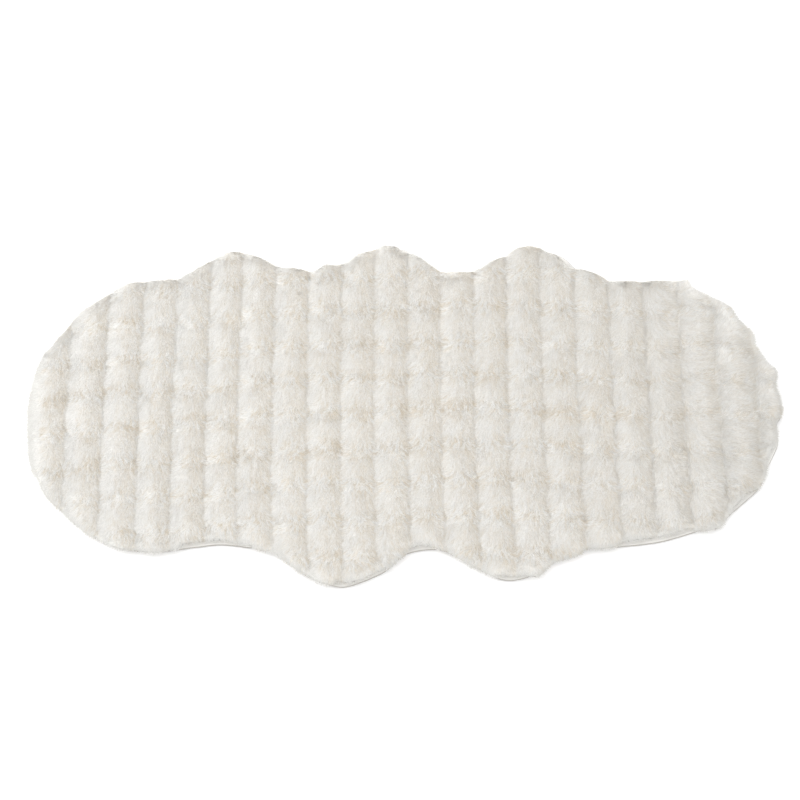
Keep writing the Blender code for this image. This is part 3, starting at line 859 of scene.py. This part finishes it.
tape = {
    "stations": 1100,        # rings along the tape, about 3 mm apart
    "width": 0.0080, "thickness": 0.0008, "fold": 0.0016,
    "pucker": 0.00028, "puckerPitch": 0.0085, "puckerAt": (0.0036, 0.0018),    # in, half width
    "stray": 0.0003, "strayLength": 0.014,    # how far the fold strays in and out, over what
    "seamIn": 0.0058, "seamDip": 0.00030, "seamWidth": 0.0007,
    "clear": 0.00004,        # its underside just clears the floor
    "colour": "#f3f2ef", "shade": "#dedcd7", "foldShade": "#a5a19a",
    "foldFrom": 0.0066, "foldTo": 0.0078,    # across the tape, where its fold turns down
    "surface": {"Roughness": 0.7, "Sheen Weight": 0.2, "Sheen Roughness": 0.4,
                "Specular IOR Level": 0.35},
    "weft": 0.0013, "warp": 0.0011,    # thread spacing, drawn about twice as coarse as it is
    "slub": 0.0030,          # size of the yarn's thick and thin stretches
}
thread = {
    "length": 0.0031, "pitch": 0.0042, "radius": 0.00028, "sides": 5,
    "colour": "#efede8",
    "surface": {"Roughness": 0.5, "Specular IOR Level": 0.4},
}


def wovenTape():
    # polyester grosgrain: a close cross-ribbed weave, smoother and whiter than the pile
    material, shader = newMaterial("woven polyester tape", tape["surface"])
    place = addNode(material, "ShaderNodeUVMap", {"uv_map": "tapeWay"})
    parts = addNode(material, "ShaderNodeSeparateXYZ", {}, {0: place.outputs["UV"]})
    waves = []
    for axis, spacing in ((0, tape["weft"]), (1, tape["warp"])):
        turns = addNode(material, "ShaderNodeMath", {"operation": "MULTIPLY", 1: 2 * math.pi / spacing},
                        {0: parts.outputs[axis]})
        waves.append(addNode(material, "ShaderNodeMath", {"operation": "SINE"}, {0: turns.outputs[0]}))
    crossing = addNode(material, "ShaderNodeMath", {"operation": "MULTIPLY_ADD", 1: 0.35},
                       {0: waves[1].outputs[0], 2: waves[0].outputs[0]})
    slubs = addNode(material, "ShaderNodeTexNoise", {"Scale": 1 / tape["slub"], "Detail": 2.0},
                    {"Vector": place.outputs["UV"]})
    height = addNode(material, "ShaderNodeMath", {"operation": "MULTIPLY_ADD", 1: 0.9},
                     {0: slubs.outputs["Fac"], 2: crossing.outputs[0]})
    bump = addNode(material, "ShaderNodeBump", {"Strength": 0.5, "Distance": 0.0002},
                   {"Height": height.outputs[0]})
    # painted shade: the weave's low places take the darker colour
    share = addNode(material, "ShaderNodeMapRange", {1: -1.0, 2: 2.0}, {0: height.outputs[0]})
    colour = addNode(material, "ShaderNodeMix",
                     {"data_type": "RGBA", 6: linear(tape["shade"]), 7: linear(tape["colour"])},
                     {0: share.outputs[0]})
    # painted shade: the tape's fold, where it turns down, is drawn greyer
    turned = addNode(material, "ShaderNodeMapRange", {1: tape["foldFrom"], 2: tape["foldTo"]},
                     {0: parts.outputs[1]})
    folded = addNode(material, "ShaderNodeMix", {"data_type": "RGBA", 7: linear(tape["foldShade"])},
                     {0: turned.outputs[0], 6: colour.outputs[2]})
    material.node_tree.links.new(folded.outputs[2], shader.inputs["Base Color"])
    material.node_tree.links.new(bump.outputs["Normal"], shader.inputs["Normal"])
    return material


def tapeSection():
    # the tape's outline across its fold: distance in, height, and way across the cloth
    high, t, fold = tapeHigh.z, tape["thickness"], tape["fold"]
    seam, dip, width = tape["seamIn"], tape["seamDip"], tape["width"]
    flats = [width, width - 0.0008, seam + 0.0006, seam, seam - 0.0006, (seam + fold) / 2, fold + 0.0006]
    outside = [(d, high - dip * math.exp(-((d - seam) / tape["seamWidth"]) ** 2)) for d in flats]
    for step in range(1, 8):
        angle = math.pi / 2 + math.pi * step / 8
        outside.append((fold + fold * math.cos(angle), high / 2 + high / 2 * math.sin(angle)))
    outside += [(d, tape["clear"]) for d in (fold + 0.0006, (seam + fold) / 2, seam, width)]
    inside = [(width, t), (seam, t), (fold + 0.0004, t), (t * 1.3, high / 2),
              (fold + 0.0004, high - t), (seam, high - t - dip), (width, high - t)]
    return np.array(outside), np.array(inside)


def buildTape():
    loop = matEdge(tape["stations"])
    normals = inwardNormals(loop)
    around = np.linalg.norm(np.roll(loop, -1, axis=0) - loop, axis=1).sum()
    along = np.arange(len(loop)) / len(loop) * around
    outside, inside = tapeSection()
    section = np.vstack([outside, inside])
    across = np.concatenate([[0], np.cumsum(np.linalg.norm(np.diff(section, axis=0), axis=1))])
    stray = tape["stray"] * smoothNoise(loop[:, 0], loop[:, 1], tape["strayLength"], 91)
    uneven = 3 * smoothNoise(loop[:, 0], loop[:, 1], 0.05, 92)
    ripple = np.sin(2 * math.pi * along / tape["puckerPitch"] + uneven)
    # puckers rise between the seam and the fold, on the upper side alone
    puckerIn, puckerWidth = tape["puckerAt"]
    crown = np.where(section[:, 1] > tapeHigh.z * 0.6,
                     np.exp(-((section[:, 0] - puckerIn) / puckerWidth) ** 2), 0.0)
    inward = section[None, :, 0] + stray[:, None] * np.exp(-section[None, :, 0] / 0.003)
    height = section[None, :, 1] + tape["pucker"] * (0.5 * ripple[:, None] - 0.5) * crown[None, :]
    plan = loop[:, None, :] + normals[:, None, :] * inward[..., None]
    points = np.concatenate([plan, height[..., None]], axis=2).reshape(-1, 3)
    rings, each = len(loop), len(section)
    a = (np.arange(rings)[:, None] * each + np.arange(each)[None, :]).ravel()
    b = (np.arange(rings)[:, None] * each + (np.arange(each)[None, :] + 1) % each).ravel()
    c, d = (b + each) % (rings * each), (a + each) % (rings * each)
    triangles = np.vstack([np.column_stack([a, d, c]), np.column_stack([a, c, b])])
    way = np.stack([np.broadcast_to(along[:, None], (rings, each)),
                    np.broadcast_to(across[None, :], (rings, each))], axis=2).reshape(-1, 2)
    piece = meshPiece("bindingTape", points, triangles, wovenTape())
    addMap(piece, "tapeWay", way)
    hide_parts("edge_binding")
    return piece


def buildStitches():
    # one lockstitch row, seen above and below the tape
    around = np.linalg.norm(np.roll(edge, -1, axis=0) - edge, axis=1).sum()
    loop = matEdge(int(around / thread["pitch"]))
    normals = inwardNormals(loop)
    alongs = np.column_stack([-normals[:, 1], normals[:, 0]])
    half, r = thread["length"] / 2, thread["radius"]
    profile = ((-half, 0.25, -0.9), (-half * 0.55, 0.95, 0.1), (half * 0.55, 0.95, 0.1),
               (half, 0.25, -0.9))    # along, thickness, height in radii
    turn = np.arange(thread["sides"]) * 2 * math.pi / thread["sides"]
    points, triangles = [], []
    for level, sense in ((tapeHigh.z - tape["seamDip"] + r * 0.6, 1), (tape["clear"] + r, -1)):
        middle = loop + normals * tape["seamIn"]
        first = sum(len(p) for p in points)
        rings = []
        for place, thick, rise in profile:
            sideways = np.cos(turn) * r * thick
            upwards = np.sin(turn) * r * thick + (rise * r * 0.6 if sense > 0 else 0.0)
            plan = middle[:, None, :] + alongs[:, None, :] * place
            plan = plan + normals[:, None, :] * sideways[None, :, None]
            rings.append(np.concatenate([plan, np.broadcast_to((level + upwards)[None, :, None],
                                                               (len(loop), len(turn), 1))], axis=2))
        points.append(np.stack(rings, axis=1).reshape(-1, 3))
        each = len(profile) * len(turn)
        faces = []
        for ring in range(len(profile) - 1):
            for side in range(len(turn)):
                a, b = ring * len(turn) + side, ring * len(turn) + (side + 1) % len(turn)
                faces += [(a, b, b + len(turn)), (a, b + len(turn), a + len(turn))]
        last = (len(profile) - 1) * len(turn)
        for side in range(1, len(turn) - 1):
            faces += [(0, side + 1, side), (last, last + side, last + side + 1)]
        starts = first + np.arange(len(loop))[:, None, None] * each
        triangles.append((starts + np.array(faces)[None]).reshape(-1, 3))
    # spun polyester thread: a little glossier than the tape under it
    material, _ = newMaterial("spun polyester thread",
                              {**thread["surface"], "Base Color": linear(thread["colour"])})
    piece = meshPiece("tapeStitches", np.vstack(points), np.vstack(triangles), material)
    return piece


bindingTape = buildTape()
tapeStitches = buildStitches()
print("tape made:", len(bindingTape.data.polygons), "triangles,",
      "stitches:", len(tapeStitches.data.polygons))

studio = {
    "floor": "#fcfcfc", "sky": "#ffffff", "skyStrength": 1.315,
    "keyWatts": 42.0, "keyPlace": (-2.6, 0.9, 1.7), "keySize": (1.6, 1.6),
}


def buildStage():
    # matt white paper: it gives no gloss, and fades into the white around it
    material, _ = newMaterial("matt white paper",
                              {"Base Color": linear(studio["floor"]), "Roughness": 0.9})
    bpy.ops.mesh.primitive_plane_add(size=30, location=(0, 0, -0.0005))
    floor = bpy.context.object
    floor.name = "studioFloor"
    floor.data.materials.append(material)


def addSoftbox(name, place, size, watts):
    light = bpy.data.lights.new(name, "AREA")
    light.energy = watts
    light.shape = "RECTANGLE"
    light.size, light.size_y = size
    lamp = bpy.data.objects.new(name, light)
    lamp.location = place
    lamp.rotation_euler = (-Vector(place)).to_track_quat("-Z", "Y").to_euler()
    bpy.context.scene.collection.objects.link(lamp)


def lightStudio():
    world = bpy.data.worlds.new("studio white")
    world.use_nodes = True
    background = world.node_tree.nodes["Background"]
    background.inputs["Color"].default_value = linear(studio["sky"])
    background.inputs["Strength"].default_value = studio["skyStrength"]
    bpy.context.scene.world = world
    addSoftbox("keySoftbox", studio["keyPlace"], studio["keySize"], studio["keyWatts"])
    bpy.context.scene.view_settings.view_transform = "Standard"
    bpy.context.scene.cycles.denoising_prefilter = "NONE"    # keeps the single fibres


view = {
    "elevation": 65.0, "turn": 0.6,    # degrees
    "distance": 3.554, "lens": 100.0, "aim": (-0.0078, 0.0218, 0.0),
}


def addCamera():
    camera = bpy.data.objects.new("camera", bpy.data.cameras.new("camera"))
    camera.data.lens = view["lens"]
    camera.data.sensor_width = 36.0
    up, turn = math.radians(view["elevation"]), math.radians(view["turn"])
    back = Vector((-math.sin(turn) * math.cos(up), -math.cos(turn) * math.cos(up), math.sin(up)))
    camera.location = Vector(view["aim"]) + back * view["distance"]
    camera.rotation_euler = (-back).to_track_quat("-Z", "Y").to_euler()
    camera.data.clip_end = 60
    bpy.context.scene.collection.objects.link(camera)
    bpy.context.scene.camera = camera


buildStage()
lightStudio()
addCamera()
print("floor, light and camera set")
